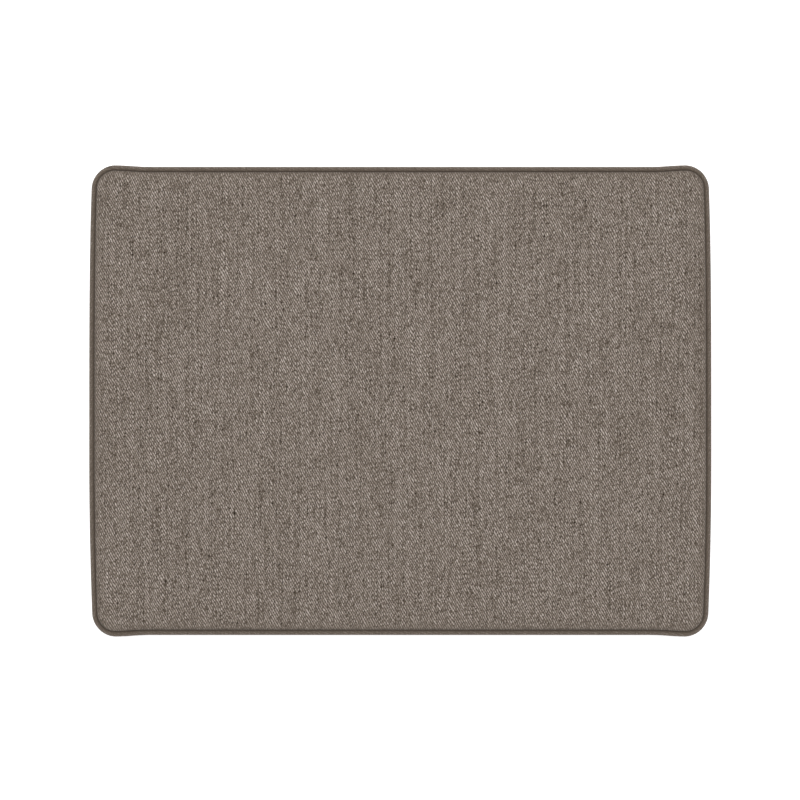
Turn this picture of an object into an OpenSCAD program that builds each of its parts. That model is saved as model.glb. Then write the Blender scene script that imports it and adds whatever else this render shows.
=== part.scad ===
// Kneeling pad: a boxed cushion with piped edges. Its cover comes off by a zip in the back of the boxing.
// Millimetres. +X runs along the pad, +Y towards the zip and +Z up. The origin is on the floor under the middle.

/* [Pad] */
// Length between the seams
pad_length = 400; // [300:1:600]
// Depth between the seams
pad_depth = 300; // [220:1:450]
// Height of the boxing, seam to seam
boxing_height = 40; // [32:1:70]
// Radius of the seam at the corners
corner_radius = 13; // [12:1:40]
// How high the top panel crowns above its seam
top_crown = 6; // [4:0.5:12]
// How far the bottom panel drops below its seam
bottom_crown = 4; // [3.5:0.5:8]

/* [Shape under load] */
// How far the long edges flare out at the corners
corner_flare = 1; // [0:0.1:4]
// How far the ends draw in at the front corners
front_draw = 2.4; // [0:0.1:4]
// How far the ends draw in at the back corners
back_draw = 2; // [0:0.1:4]

/* [Cloth] */
// Thickness of the cover cloth
cloth_t = 0.6; // [0.3:0.1:1]
// Thickness of the liner cloth
liner_t = 0.4; // [0.2:0.1:0.6]
// Width of the seam allowances
seam_allowance = 8; // [5:0.5:12]

/* [Piping] */
// Diameter of the filler cord
cord_d = 3; // [2:0.5:4]

/* [Filling] */
// Thickness of a wadding sheet
wadding_t = 4.7; // [3:0.1:8]

/* [Zip] */
// From each corner's seam to the join where the zip's boxing begins
zip_margin = 35; // [30:1:80]
// From a join to the end of the coil
zip_inset = 15; // [8:1:30]
// Gap between the slider's sides and the folded edges beside them
edge_clear = 0.5; // [0.3:0.1:2]
// Width of the cloth folded back beside the zip
zip_fold = 6; // [4:0.5:7]
// Thickness of the zip's tape
tape_t = 0.5; // [0.3:0.1:0.8]
// How far the tapes run on behind the boxing strip, past each join
tape_overlap = 3; // [1:0.5:5]
// Thickness of a coil
coil_d = 1.6; // [1.2:0.1:2.5]
// Width of one coil
coil_w = 1.8; // [1.4:0.1:2.4]
// Length of the slider
slider_length = 9.5; // [8:0.5:14]
// Gap between a coil and the slider's side wall
coil_clear = 0.45; // [0.2:0.05:1]
// Length of the pull's tab, from its crossbar
pull_length = 22; // [15:1:40]

/* [Stitches] */
// Distance from a folded edge to its row of stitches
stitch_inset = 2.5; // [1.5:0.1:5]
// Length of one stitch
stitch_length = 3; // [2:0.1:4]
// Distance from one stitch to the next
stitch_pitch = 4; // [3:0.1:6]
// Thickness of the thread
thread_d = 0.5; // [0.3:0.1:0.8]

/* [Hidden] */

half_l = pad_length / 2;
half_d = pad_depth / 2;
bottom_seam = bottom_crown;
top_seam = bottom_seam + boxing_height;
pad_height = top_seam + top_crown;

// Places across the edge, measured inwards from the seam outline.
layer_gap = 0.1;
piping_r = cord_d / 2 + cloth_t;
fold_in = 2 * cloth_t;
// The flange lies inside the turned-in boxing, and its far face clears the round of the piping.
stitch_clear = 0.4;
flange_in = max(fold_in + layer_gap, piping_r + stitch_clear - 2 * cloth_t);
flange_out = flange_in + 2 * cloth_t;
turn_in = flange_out + layer_gap;
liner_in = turn_in + cloth_t + layer_gap;
wadding_in = liner_in + liner_t + layer_gap;
// Where the panel's roll starts beside the piping: inwards from the seam, and above it.
lip_in = piping_r * 0.57;
lip_up = piping_r + 3 * layer_gap;
shoulder_up = 0.8;
// How far in the rolled edges reach. They stay inside the corners' radius.
top_roll = corner_radius - 1.5;
bottom_roll = min(corner_radius - 1.5, 8);
roll_steps = 4;

// The foam fills what the cloth, the liner and the wadding leave.
face_stack = cloth_t + liner_t + wadding_t + 3 * layer_gap;
foam_bottom = face_stack;
foam_top = pad_height - face_stack;

// The zip runs along the middle of the back boxing.
zip_z = (bottom_seam + top_seam) / 2;
join_x = half_l - zip_margin;
zip_half = join_x - zip_inset;
back_y = half_d;
fold_y = back_y - fold_in;
tape_y = fold_y - layer_gap;
coil_gap = 0.5;
coil_seat = 0.05;
coil_mid_y = tape_y + coil_seat + coil_d / 2;
tape_clear = 0.5;
tape_reach = boxing_height / 2 - seam_allowance - tape_clear;
stop_length = 3;
top_stop_length = 2.5;
stop_wall = 0.3;
seam_clear = piping_r + layer_gap;

// The slider's walls run outside the coils, and the folded edges lie outside the slider.
run_clear = 0.2;
slider_wall = 0.7;
wing_lip = 0.35;
slider_width = 2 * (coil_gap + coil_w + coil_clear + slider_wall + wing_lip);
zip_gap = slider_width + 2 * edge_clear;

// Levels of the slider and the pull, outwards from the tape.
wing_t = 0.8;
lower_wing_y = tape_y - tape_t - run_clear - wing_t;
upper_wing_y = coil_mid_y + coil_d / 2 + run_clear;
wing_top_y = upper_wing_y + wing_t;
web_t = 0.7;
web_length = 1.6;
bar_r = 0.45;
bar_clear = 0.2;
bar_y = wing_top_y + bar_clear + bar_r;
bridge_y = bar_y + bar_r + bar_clear;
bridge_t = 0.7;
bridge_w = 1.8;
bridge_leg = 1;
bridge_half = 3.1;
pull_t = 1;
pull_w = 5.5;
arm_w = 0.9;
arm_half = bridge_w / 2 + 0.4;
window_end = 4.2;
slider_x = zip_half - top_stop_length - run_clear - slider_length / 2;
slot = 0.02;

// ---- the outline that every sewn piece follows ----

function smooth(t) = let (c = min(1, max(0, t))) c * c * (3 - 2 * c);

// The long edges are straight along the zip and flare out towards the corners.
function flare(x) = corner_flare * smooth((abs(x) - join_x) / (half_l - corner_radius - join_x));

// The ends bow: they draw in towards the corners, gently at the front and close to the corners at the back.
function draw_in(y) =
    let (from_widest = y / half_d + 0.26)
    from_widest < 0 ? front_draw * pow(-from_widest / 0.74, 2) : back_draw * pow(from_widest / 1.26, 4);

function settled(p) = [
    p.x * (1 - draw_in(p.y) / half_l),
    p.y * (1 + flare(p.x) / half_d)
];

arc_steps = 5;
end_steps = 6;
// Places along half a long edge, as shares of the stretch from the zip's join to the corner.
flare_shares = [0, 0.33, 0.66];

// The rounded rectangle that lies this far inside the seam, anticlockwise from the front right corner.
function outline(inset) =
    let (
        r = max(0.5, corner_radius - inset),
        cx = half_l - inset - r,
        cy = half_d - inset - r,
        run = cx - join_x,
        corner = function (sx, sy, from)
            [for (i = [0:arc_steps]) let (a = from + 90 * i / arc_steps) [sx * cx + r * cos(a), sy * cy + r * sin(a)]],
        end = function (s) [for (i = [1:end_steps - 1]) [s * (cx + r), s * cy * (2 * i / end_steps - 1)]],
        edge = function (s) concat(
            [for (i = [2:-1:0]) [s * (join_x + run * flare_shares[i]), s * (cy + r)]],
            [for (i = [0:2]) [-s * (join_x + run * flare_shares[i]), s * (cy + r)]]
        )
    )
    [for (p = concat(
        corner(1, -1, -90), end(1), corner(1, 1, 0), edge(1),
        corner(-1, 1, 90), end(-1), corner(-1, -1, 180), edge(-1)
    )) settled(p)];

around = len(outline(0));

function ring_points(section) =
    [for (s = section) let (o = outline(s[0])) each [for (p = o) [p.x, p.y, s[1]]]];

function band(a, b) =
    [for (i = [0:around - 1]) let (j = (i + 1) % around)
        [a * around + i, a * around + j, b * around + j, b * around + i]];

// A closed section of [inset, height] carried once round the outline. The section is listed anticlockwise, as
// drawn with the inset to the right.
module ring(section) {
    count = len(section);
    faces = [for (k = [0:count - 1]) each band(k, (k + 1) % count)];
    polyhedron(points = ring_points(section), faces = faces, convexity = 6);
}

// An open section closed by flat faces inside its first and its last ring: a domed shell or a slab.
module capped(section) {
    count = len(section);
    sides = [for (k = [0:count - 2]) each band(k, k + 1)];
    first_face = [for (i = [around - 1:-1:0]) i];
    last_face = [for (i = [0:around - 1]) (count - 1) * around + i];
    polyhedron(points = ring_points(section), faces = concat(sides, [first_face, last_face]), convexity = 6);
}

module at_top() {
    translate([0, 0, top_seam]) children();
}

module at_bottom() {
    translate([0, 0, bottom_seam]) mirror([0, 0, 1]) children();
}

// ---- sections, with the height measured from the seam towards the panel ----

// A quarter of an ellipse from beside the edge up to the flat of a panel.
function roll(from_in, from_up, to_in, to_up) =
    [for (i = [0:roll_steps]) let (a = 90 * i / roll_steps)
        [from_in + (to_in - from_in) * (1 - cos(a)), from_up + (to_up - from_up) * sin(a)]];

function reversed(list) = [for (i = [len(list) - 1:-1:0]) list[i]];

// The panel's outside: up from the turned-in allowance, over the piping and on to the crown.
function panel_outside(crown, reach) = concat(
    [[turn_in, -seam_allowance], [turn_in, 0.5], [piping_r * 0.72, piping_r * 0.82]],
    roll(lip_in, lip_up, reach, crown)
);

function panel_inside(crown, reach) = concat(
    [
        [turn_in + cloth_t, -seam_allowance],
        [turn_in + cloth_t, 0.5 + cloth_t / 2],
        [piping_r * 0.72 + cloth_t * 0.7, piping_r * 0.82 + cloth_t * 0.7]
    ],
    roll(lip_in + cloth_t, lip_up + cloth_t / 4, reach, crown - cloth_t)
);

// The filling's rounded edge, this far inside the liner's outside.
function bag_edge(inside, crown, reach) =
    roll(liner_in + inside, shoulder_up, reach, crown - cloth_t - layer_gap - inside);

piping_sides = 12;

// The strip that wraps the cord: a round with its two-layer flange turned down.
function piping_section() =
    let (
        from = -acos(flange_in / piping_r),
        turn = 360 + from - 20
    )
    concat(
        [[flange_out, -seam_allowance], [flange_out, -0.2]],
        [for (i = [0:piping_sides - 2]) let (a = 20 + turn * i / (piping_sides - 2)) [piping_r * cos(a), piping_r * sin(a)]],
        [[flange_in, -seam_allowance]]
    );

function cord_section(r) = [for (i = [0:7]) [r * cos(45 * i), r * sin(45 * i)]];

// ---- the cover ----

module panel(crown, reach) {
    capped(concat(reversed(panel_outside(crown, reach)), panel_inside(crown, reach)));
}

module top_panel() {
    color("#81776e") at_top() panel(top_crown, top_roll);
}

module bottom_panel() {
    color("#81776e") at_bottom() panel(bottom_crown, bottom_roll);
}

module piping_cover() {
    difference() {
        ring(piping_section());
        ring(cord_section(cord_d / 2));
    }
}

module piping_cord() {
    ring(cord_section(cord_d / 2 - layer_gap / 2));
}

module top_piping_cover() {
    color("#73685f") at_top() piping_cover();
}

module bottom_piping_cover() {
    color("#73685f") at_bottom() piping_cover();
}

module top_piping_cord() {
    color("white") at_top() piping_cord();
}

module bottom_piping_cord() {
    color("white") at_bottom() piping_cord();
}

// The boxing with both its allowances turned in, open at the back between the joins.
module boxing_strip() {
    low = bottom_seam + seam_clear;
    high = top_seam - seam_clear;
    section = [
        [0, low], [fold_in, low], [fold_in, bottom_seam + seam_allowance], [cloth_t, bottom_seam + seam_allowance],
        [cloth_t, top_seam - seam_allowance], [fold_in, top_seam - seam_allowance], [fold_in, high], [0, high]
    ];
    color("#7b7168") difference() {
        ring(section);
        translate([-join_x, back_y - 3 * cloth_t, 0]) cube([2 * join_x, 6 * cloth_t, pad_height]);
    }
}

// Half of the back boxing, as the upper one: its allowance at the seam, its fold beside the zip and its turned ends.
module zip_panel() {
    reach = boxing_height / 2 - seam_clear;
    width = 2 * (join_x - layer_gap);
    start = zip_gap / 2;
    translate([-width / 2, back_y - cloth_t, start]) cube([width, cloth_t, reach - start]);
    translate([-width / 2, fold_y, start]) cube([width, cloth_t, zip_fold]);
    translate([-width / 2, fold_y, boxing_height / 2 - seam_allowance])
        cube([width, cloth_t, seam_allowance - seam_clear]);
    for (side = [0, 1]) mirror([side, 0, 0])
        translate([width / 2 - zip_fold, fold_y, start]) cube([zip_fold, cloth_t, reach - start]);
}

module above_zip() {
    translate([0, 0, zip_z]) children();
}

module below_zip() {
    translate([0, 0, zip_z]) mirror([0, 0, 1]) children();
}

module zip_panel_upper() {
    color("#7b7168") above_zip() zip_panel();
}

module zip_panel_lower() {
    color("#7b7168") below_zip() zip_panel();
}

// ---- the zip ----

module tape() {
    tape_half = join_x + tape_overlap;
    translate([-tape_half, tape_y - tape_t, coil_gap]) cube([2 * tape_half, tape_t, tape_reach - coil_gap]);
}

module zip_tape_upper() {
    color("#6d655d") above_zip() tape();
}

module zip_tape_lower() {
    color("#6d655d") below_zip() tape();
}

// A coil's envelope: flat towards the tape, rounded along both edges.
module coil() {
    start = -zip_half + stop_length + slot;
    length = 2 * zip_half - stop_length - top_stop_length - 2 * slot;
    edge_r = coil_d / 2;
    translate([start, coil_mid_y, coil_gap + edge_r]) rotate([0, 90, 0]) cylinder(h = length, r = edge_r, $fn = 24);
    translate([start, coil_mid_y, coil_gap + coil_w - edge_r]) rotate([0, 90, 0])
        cylinder(h = length, r = edge_r, $fn = 24);
    translate([start, coil_mid_y - edge_r, coil_gap + edge_r]) cube([length, coil_d, coil_w - coil_d]);
}

module zip_coil_upper() {
    color("#5f574f") above_zip() coil();
}

module zip_coil_lower() {
    color("#5f574f") below_zip() coil();
}

module zip_bottom_stop() {
    width = 2 * (coil_gap + coil_w + stop_wall);
    color("#b0aca4") translate([-zip_half, tape_y + slot, zip_z - width / 2])
        cube([stop_length, coil_d + coil_seat + stop_wall, width]);
}

module zip_top_stops() {
    color("#b0aca4") for (side = [0, 1]) translate([0, 0, zip_z]) mirror([0, 0, side])
        translate([zip_half - top_stop_length, tape_y + slot, coil_gap - stop_wall / 2])
            cube([top_stop_length, coil_d + coil_seat + stop_wall, coil_w + stop_wall]);
}

// A slider's wing: wide at the mouth, where the two coils come in, and narrower behind.
module wing(y, thick, width) {
    half = slider_length / 2;
    wide = width / 2;
    narrow = wide - 0.6;
    plan = [
        [-half, -narrow + 0.8], [-half + 0.8, -narrow], [0, -wide], [half - 1, -wide], [half, -wide + 1.2],
        [half, wide - 1.2], [half - 1, wide], [0, wide], [-half + 0.8, narrow], [-half, narrow - 0.8]
    ];
    translate([0, y + thick, 0]) rotate([90, 0, 0]) linear_extrude(thick) polygon(plan);
}

module zip_slider() {
    color("#b0aca4") translate([slider_x, 0, zip_z]) {
        wing(upper_wing_y, wing_t, slider_width);
        wing(lower_wing_y, wing_t, slider_width - 0.8);
        // the web between the two coils, which joins the wings
        translate([slider_length / 2 - 0.6 - web_length, lower_wing_y, -web_t / 2])
            cube([web_length, wing_top_y - lower_wing_y, web_t]);
        // the side flanges that hold the coils together
        for (side = [0, 1]) mirror([0, 0, side])
            translate([-slider_length / 2 + 1.4, tape_y + run_clear * 2, coil_gap + coil_w + coil_clear])
                cube([slider_length - 3, upper_wing_y - tape_y, slider_wall]);
        // the bridge that holds the pull
        for (side = [0, 1]) mirror([side, 0, 0])
            translate([bridge_half - bridge_leg, upper_wing_y, -bridge_w / 2])
                cube([bridge_leg, bridge_y - upper_wing_y + bridge_t, bridge_w]);
        translate([-bridge_half, bridge_y, -bridge_w / 2]) cube([2 * bridge_half, bridge_t, bridge_w]);
    }
}

// The pull lies back along the zip. Its crossbar runs under the slider's bridge.
module zip_pull() {
    arm = arm_half + arm_w;
    tip_r = pull_w / 2;
    color("#b0aca4") translate([slider_x, bar_y, zip_z]) {
        translate([0, 0, -arm]) cylinder(h = 2 * arm, r = bar_r, $fn = 32);
        for (side = [0, 1]) mirror([0, 0, side])
            translate([-window_end - 0.5, -bar_r, arm_half]) cube([window_end + 0.5, 2 * bar_r, arm_w]);
        translate([0, pull_t / 2, 0]) rotate([90, 0, 0]) linear_extrude(pull_t) difference() {
            union() {
                translate([-pull_length + tip_r, -pull_w / 2]) square([pull_length - tip_r - window_end, pull_w]);
                translate([-pull_length + tip_r, 0]) circle(r = tip_r, $fn = 48);
            }
            translate([-pull_length + tip_r, 0]) circle(r = tip_r * 0.45, $fn = 32);
        }
    }
}

// ---- stitches ----

module stitch_row() {
    count = floor(2 * (join_x - zip_fold) / stitch_pitch);
    start = -(count - 1) * stitch_pitch / 2;
    for (i = [0:count - 1])
        translate([start + i * stitch_pitch - stitch_length / 2, back_y + thread_d / 2, zip_gap / 2 + stitch_inset])
            rotate([0, 90, 0]) cylinder(h = stitch_length, d = thread_d, $fn = 16);
}

module zip_stitching_upper() {
    color("#5a5149") above_zip() stitch_row();
}

module zip_stitching_lower() {
    color("#5a5149") below_zip() stitch_row();
}

// ---- the filling ----

module foam_core() {
    color("#e8e0c0") capped([[wadding_in, foam_top], [wadding_in, foam_bottom]]);
}

module wadding(crown, reach, base) {
    edge = bag_edge(wadding_in - liner_in, crown, reach);
    capped(concat(reversed(edge), [[wadding_in, base]]));
}

module wadding_top() {
    color("#f4f4f0") at_top() wadding(top_crown, top_roll, foam_top + layer_gap - top_seam);
}

module wadding_bottom() {
    color("#f4f4f0") at_bottom() wadding(bottom_crown, bottom_roll, bottom_seam - foam_bottom + layer_gap);
}

// A bag with no opening drawn, all round the wadding and the foam.
module inner_liner() {
    outside = function (inside) concat(
        [for (p = reversed(bag_edge(inside, top_crown, top_roll))) [p[0], top_seam + p[1]]],
        [for (p = bag_edge(inside, bottom_crown, bottom_roll)) [p[0], bottom_seam - p[1]]]
    );
    color("#e4dcc8") difference() {
        capped(outside(0));
        capped(outside(liner_t));
    }
}

top_panel();
bottom_panel();
boxing_strip();
zip_panel_upper();
zip_panel_lower();
top_piping_cover();
top_piping_cord();
bottom_piping_cover();
bottom_piping_cord();
zip_tape_upper();
zip_tape_lower();
zip_coil_upper();
zip_coil_lower();
zip_slider();
zip_pull();
zip_bottom_stop();
zip_top_stops();
zip_stitching_upper();
zip_stitching_lower();
foam_core();
wadding_top();
wadding_bottom();
inner_liner();
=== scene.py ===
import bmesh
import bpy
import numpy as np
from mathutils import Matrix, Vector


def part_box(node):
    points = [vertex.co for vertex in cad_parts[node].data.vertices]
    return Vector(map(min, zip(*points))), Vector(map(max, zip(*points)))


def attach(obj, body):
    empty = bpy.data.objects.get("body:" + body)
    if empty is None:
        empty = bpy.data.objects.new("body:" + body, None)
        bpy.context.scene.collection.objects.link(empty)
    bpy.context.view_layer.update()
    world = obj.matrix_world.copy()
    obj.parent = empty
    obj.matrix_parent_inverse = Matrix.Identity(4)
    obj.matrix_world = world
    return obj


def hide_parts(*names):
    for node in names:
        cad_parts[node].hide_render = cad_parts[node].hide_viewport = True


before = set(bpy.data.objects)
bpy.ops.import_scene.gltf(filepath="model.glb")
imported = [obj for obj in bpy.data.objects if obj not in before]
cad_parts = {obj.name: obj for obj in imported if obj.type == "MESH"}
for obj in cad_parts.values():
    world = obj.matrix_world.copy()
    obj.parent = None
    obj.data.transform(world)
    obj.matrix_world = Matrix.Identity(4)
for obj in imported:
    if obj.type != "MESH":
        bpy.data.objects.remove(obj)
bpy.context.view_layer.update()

# %% [markdown]
# # A piped kneeling pad, dressed round its CAD frame
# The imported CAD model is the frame: it says where every piece of the pad lies, in metres, with +X along the
# pad, +Y towards the zip and +Z up. This lesson makes the cloth, the piping, the zip and the filling at
# those places, one piece at a time. Each shape is a formula worked out as whole numpy arrays.

MM = 0.001
scene = bpy.context.scene

# %% [markdown]
# ## The pad's own sizes
# Sizes come from the boxes of the CAD nodes, so nothing has to be fitted by eye. The cord in each piping
# lies exactly on its seam, which gives the seam's height and the pad's length. The zip's boxing gives the
# depth.

# %% Sizes read from the frame
cord_low, cord_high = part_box("top_piping_cord")
under_low, under_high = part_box("bottom_piping_cord")
zip_low, zip_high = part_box("zip_panel_upper")
coil_low, coil_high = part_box("zip_coil_upper")
tape_low, tape_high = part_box("zip_tape_upper")

SEAM_HIGH = (cord_low.z + cord_high.z) / 2
SEAM_LOW = (under_low.z + under_high.z) / 2
HALF_L = cord_high.x - (cord_high.z - cord_low.z) / 2
HALF_D = zip_high.y
JOIN_X = zip_high.x + 0.1 * MM
ZIP_Z = (SEAM_LOW + SEAM_HIGH) / 2
CORNER = 13 * MM
TOP_CROWN, TOP_REACH = 6 * MM, 11.5 * MM
BOTTOM_CROWN, BOTTOM_REACH = 4 * MM, 8 * MM
FLARE, FRONT_DRAW, BACK_DRAW, WIDEST = 1.0 * MM, 2.4 * MM, 2.0 * MM, 0.26
CLOTH = 0.6 * MM
ALLOWANCE = 8 * MM
print("seams at", round(SEAM_LOW, 4), round(SEAM_HIGH, 4), "half sizes", round(HALF_L, 4), round(HALF_D, 4))

# %% [markdown]
# ## The outline of a pad that has been used
# A sewn pad is not a perfect rectangle. Its corners hold their shape, the long edges flare out a little
# towards them, and the short ends bow. The CAD source has the same formula, and every piece that follows
# the edge is carried through it, so all of them bend together.

# %% Outline
def smooth(t):
    """0 below 0, 1 above 1, and 3t^2 - 2t^3 between, so that it starts and stops without a corner."""
    t = np.clip(t, 0, 1)
    return t * t * (3 - 2 * t)


def settled(x, y):
    """The pad in use: y grows by the flare, which rises from the zip's join to the corner, and x shrinks by
    the draw, a power of the distance from the widest place, a little in front of the middle."""
    flare = FLARE * smooth((np.abs(x) - JOIN_X) / (HALF_L - CORNER - JOIN_X))
    place = y / HALF_D + WIDEST
    front = FRONT_DRAW * (np.maximum(-place, 0) / (1 - WIDEST)) ** 2
    back = BACK_DRAW * (np.maximum(place, 0) / (1 + WIDEST)) ** 4
    return x * (1 - (front + back) / HALF_L), y * (1 + flare / HALF_D)


# %% [markdown]
# ## A grid for a panel with round corners
# A square grid over a rounded rectangle would have steps at the corners. Here the middle of the panel is an
# even grid, and each corner block is bent into a quarter disc, so that the grid's own rim is the seam. The
# grid lines crowd together towards the rim, where the cloth turns down steeply.

# %% Stations, grid and rim
def stations(straight_half, step, edge_steps):
    """Places along one side: even over the straight part, then shares from 0 to 1 round each edge."""
    count = round(2 * straight_half / step)
    share = np.linspace(0, 1, edge_steps + 1)[1:]
    edge = np.full(edge_steps, straight_half)
    place = np.concatenate([-edge, np.linspace(-straight_half, straight_half, count + 1), edge])
    return place, np.concatenate([-share[::-1], np.zeros(count + 1), share])


def pad_grid(step, edge_steps):
    """Centres, directions and share for a grid over the pad. A corner block (a, b) from 0 to 1 is bent into a
    quarter disc by x = a sqrt(1 - b^2/2), y = b sqrt(1 - a^2/2), and share is the distance from its centre."""
    px, ax = stations(HALF_L - CORNER, step, edge_steps)
    py, by = stations(HALF_D - CORNER, step, edge_steps)
    cx, cy = np.meshgrid(px, py, indexing="ij")
    a, b = np.meshgrid(ax, by, indexing="ij")
    share = np.sqrt(a * a + b * b - a * a * b * b)
    whole = np.maximum(share, 1e-9)
    nx, ny = a * np.sqrt(1 - b * b / 2) / whole, b * np.sqrt(1 - a * a / 2) / whole
    return {"cx": cx, "cy": cy, "nx": nx, "ny": ny, "share": share,
            "qx": px + ax * CORNER, "qy": py + by * CORNER}


def rim_numbers(shape):
    """Vertex numbers round a grid's rim, anticlockwise seen from above."""
    k = np.arange(shape[0] * shape[1]).reshape(shape)
    return np.concatenate([k[:-1, 0], k[-1, :-1], k[:0:-1, -1], k[0, :0:-1]])


def rim_of(grid):
    """The grid's rim as centre and outward direction, so that centre + direction * (CORNER - inset) is the
    outline that lies that far inside the seam."""
    k = rim_numbers(grid["cx"].shape)
    return {name: grid[name].ravel()[k] for name in ("cx", "cy", "nx", "ny")}


def ring(rim, inset, z):
    """One settled ring of points, inset inside the seam and at height z. Both may vary round the rim."""
    x, y = settled(rim["cx"] + rim["nx"] * (CORNER - inset), rim["cy"] + rim["ny"] * (CORNER - inset))
    return np.stack([x, y, np.broadcast_to(z, x.shape)], -1)


def rim_length(rim):
    """Distance along the seam from the first point, for laying cloth and counting stitches."""
    p = ring(rim, 0, 0)
    step = np.linalg.norm(np.diff(p, axis=0, append=p[:1]), axis=1)
    return np.concatenate([[0], np.cumsum(step)[:-1]]), step.sum()


# %% [markdown]
# ## Putting arrays into meshes
# Blender keeps a mesh as vertices, faces and per-corner data. These helpers join grids of points into quads
# and lay a UV map called weave on them, measured in metres of cloth. The weave is drawn in that map, so a
# thread follows its piece round every fold.

# %% Mesh helpers
def quads(table, around=False, closed=False):
    """Quads between neighbouring rows of a table of vertex numbers. around joins the last column to the
    first, and closed the last row to the first. A row below the one before it, listed anticlockwise, gives
    faces that point outwards."""
    k = np.concatenate([table, table[:, :1]], 1) if around else table
    k = np.concatenate([k, k[:1]]) if closed else k
    return np.stack([k[:-1, :-1], k[1:, :-1], k[1:, 1:], k[:-1, 1:]], -1).reshape(-1, 4)


def grid_faces(rows, columns, **joins):
    """Quads over a grid whose vertices are numbered row by row."""
    return quads(np.arange(rows * columns).reshape(rows, columns), **joins)


def wall_faces(top, ring_count, first, bottom=()):
    """Quads down a wall: from the rim's vertices, top, through ring_count rings that are numbered from first,
    and on to the rim below, bottom, if there is one."""
    rings = first + np.arange(ring_count * len(top)).reshape(ring_count, len(top))
    return quads(np.concatenate([top[None], rings, *[b[None] for b in bottom]]), around=True)


def make_piece(name, points, faces, weave=None, closed_flat=(), painted_seam_shade=None):
    """A mesh object at the origin from points (n, 3), quads (m, 4) and cloth places (n, 2) in metres. The last
    argument is a mask for painted shade: 1 in the groove beside the piping and 0 where the cloth lies free,
    and cloth materials darken their colour by it."""
    mesh = bpy.data.meshes.new(name)
    polygons = faces.tolist() + [list(f) for f in closed_flat]
    mesh.from_pydata(points.reshape(-1, 3).tolist(), [], polygons)
    mesh.polygons.foreach_set("use_smooth", np.ones(len(mesh.polygons), bool))
    if weave is not None:
        corner = np.zeros(len(mesh.loops), np.int32)
        mesh.loops.foreach_get("vertex_index", corner)
        layer = mesh.uv_layers.new(name="weave")
        layer.data.foreach_set("uv", weave.reshape(-1, 2)[corner].astype(np.float32).ravel())
    if painted_seam_shade is not None:
        values = mesh.attributes.new("painted_seam_shade", "FLOAT", "POINT").data
        values.foreach_set("value", painted_seam_shade.astype(np.float32).ravel())
    mesh.update()
    obj = bpy.data.objects.new(name, mesh)
    scene.collection.objects.link(obj)
    return obj


def thicken(obj, thickness, offset=-1.0):
    """Gives a sheet its real thickness. Offset -1 keeps the outside where it is, and 0 thickens both ways."""
    wall = obj.modifiers.new("Thickness", "SOLIDIFY")
    wall.thickness, wall.offset, wall.use_even_offset = thickness, offset, True
    return obj


def dress(obj, material, slot, body, *nodes):
    """Gives a piece its material and its body, and hides the CAD nodes that it stands for. slot is not used."""
    obj.data.materials.clear()
    obj.data.materials.append(material)
    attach(obj, body)
    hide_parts(*nodes)
    print(obj.name, len(obj.data.vertices), "vertices on", body)
    return obj


# %% [markdown]
# ## Formulas as nodes
# A material's pattern is a formula too, but Blender works it out with Math nodes. The small class below
# lets the formula be written as plain arithmetic: every sum or product of wires adds the node that does it.

# %% Wires
class Wire:
    """A number in a node tree. Arithmetic on wires adds Math nodes to the tree."""

    def __init__(self, socket):
        self.socket = socket
        self.tree = socket.id_data

    def calc(self, operation, *others, clamp=False):
        made = self.tree.nodes.new("ShaderNodeMath")
        made.operation, made.use_clamp = operation, clamp
        for slot_in, value in zip(made.inputs, (self, *others)):
            if isinstance(value, Wire):
                self.tree.links.new(value.socket, slot_in)
            else:
                slot_in.default_value = value
        return Wire(made.outputs[0])

    def __add__(self, other):
        return self.calc("ADD", other)

    def __sub__(self, other):
        return self.calc("SUBTRACT", other)

    def __mul__(self, other):
        return self.calc("MULTIPLY", other)

    def __truediv__(self, other):
        return self.calc("DIVIDE", other)

    __radd__, __rmul__ = __add__, __mul__

    def floor(self):
        return self.calc("FLOOR")

    def clamp(self):
        return self.calc("ADD", 0.0, clamp=True)


def vector(x, y, z=0.0):
    """Three wires or numbers as one vector socket. The first is a wire."""
    made = x.tree.nodes.new("ShaderNodeCombineXYZ")
    for slot_in, value in zip(made.inputs, (x, y, z)):
        if isinstance(value, Wire):
            x.tree.links.new(value.socket, slot_in)
        else:
            slot_in.default_value = value
    return made.outputs[0]


def chance(a, b, seed):
    """A random number from 0 to 1, the same everywhere in the cell (a, b)."""
    made = a.tree.nodes.new("ShaderNodeTexWhiteNoise")
    made.noise_dimensions = "3D"
    a.tree.links.new(vector(a, b, float(seed)), made.inputs["Vector"])
    return Wire(made.outputs["Value"])


def cloud(a, b, seed, detail=0.0):
    """Smooth noise about 0.5, one hill to each unit of a and b."""
    made = a.tree.nodes.new("ShaderNodeTexNoise")
    made.inputs["Scale"].default_value = 1.0
    made.inputs["Detail"].default_value = detail
    a.tree.links.new(vector(a, b, seed * 7.3), made.inputs["Vector"])
    return Wire(made.outputs["Fac"])


def new_material(name, roughness, specular=0.5, metallic=0.0, sheen=0.0, sheen_roughness=0.5):
    """An empty material with its shader's fixed numbers set on the shader itself."""
    material = bpy.data.materials.new(name)
    material.use_nodes = True
    shader = material.node_tree.nodes["Principled BSDF"]
    shader.inputs["Roughness"].default_value = roughness
    shader.inputs["Specular IOR Level"].default_value = specular
    shader.inputs["Metallic"].default_value = metallic
    shader.inputs["Sheen Weight"].default_value = sheen
    shader.inputs["Sheen Roughness"].default_value = sheen_roughness
    return material, material.node_tree, shader


def cloth_place(tree):
    """The piece's weave map in millimetres of cloth, as two wires."""
    uv = tree.nodes.new("ShaderNodeUVMap")
    uv.uv_map = "weave"
    split = tree.nodes.new("ShaderNodeSeparateXYZ")
    tree.links.new(uv.outputs["UV"], split.inputs[0])
    return Wire(split.outputs["X"]) * 1000.0, Wire(split.outputs["Y"]) * 1000.0


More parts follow.
